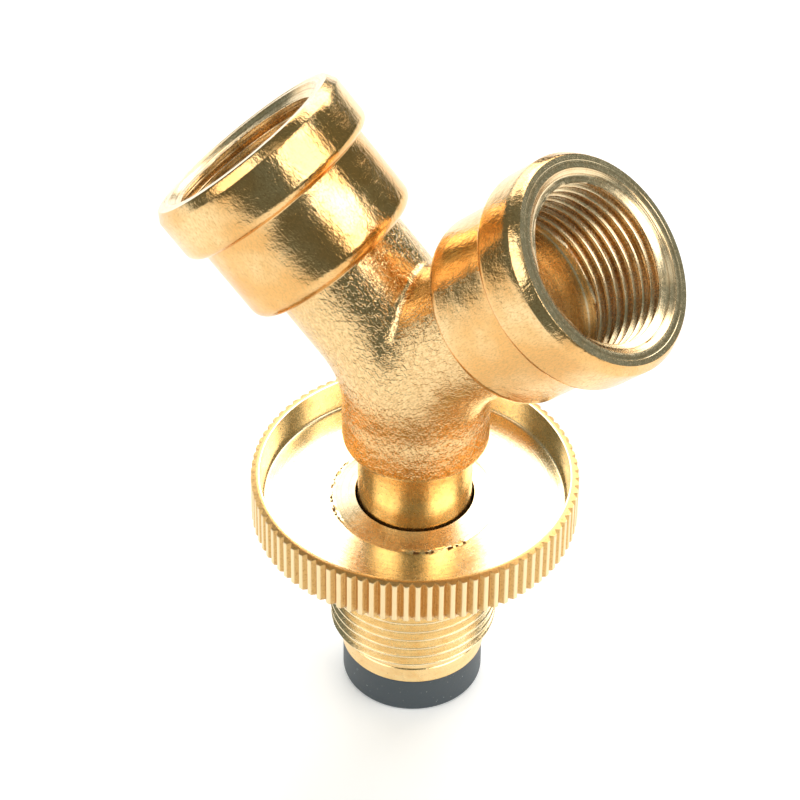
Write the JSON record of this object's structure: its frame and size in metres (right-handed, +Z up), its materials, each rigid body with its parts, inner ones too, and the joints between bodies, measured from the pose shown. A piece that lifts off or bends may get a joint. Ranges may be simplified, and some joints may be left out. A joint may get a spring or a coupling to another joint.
{
  "type": "hose splitter",
  "caption": "Y-shaped brass splitter with a threaded knurled hand wheel inlet, a rubber nose seal and two internally threaded outlets.",
  "frame": {"origin": "centre of the rubber nose seal's flat bottom face, where the fitting stands", "axes": "+Z up the inlet stem's axis towards the fork; the two outlet arms lean 45 degrees from +Z towards -X and +X, so the fork lies in the XZ plane; the front is -Y"},
  "size_m": [0.0818, 0.0512, 0.1066],
  "materials": {
    "forged_brass": "hot-forged and tumbled brass, satin with fine pitting",
    "turned_brass": "machined brass with fine turning marks",
    "black_rubber": "matte moulded rubber",
    "fibre_washer": "matte pressed fibre"
  },
  "bodies": {
    "fitting": {"y_body": "forged_brass", "inlet_stem": "turned_brass", "nose_seal": "black_rubber", "stem_seal_washer": "fibre_washer"},
    "thrust_ring": {"thrust_washer": "turned_brass"},
    "wheel": {"handwheel": "turned_brass"}
  },
  "joints": [
    {"name": "wheel_spin", "type": "hinge", "parent": "fitting", "child": "thrust_ring", "pos_m": [0, 0, 0.01025], "axis": [0, 0, 1], "continuous": true},
    {"name": "wheel_slide", "type": "slide", "parent": "thrust_ring", "child": "wheel", "axis": [0, 0, 1], "range_m": [0, 0.011]}
  ]
}
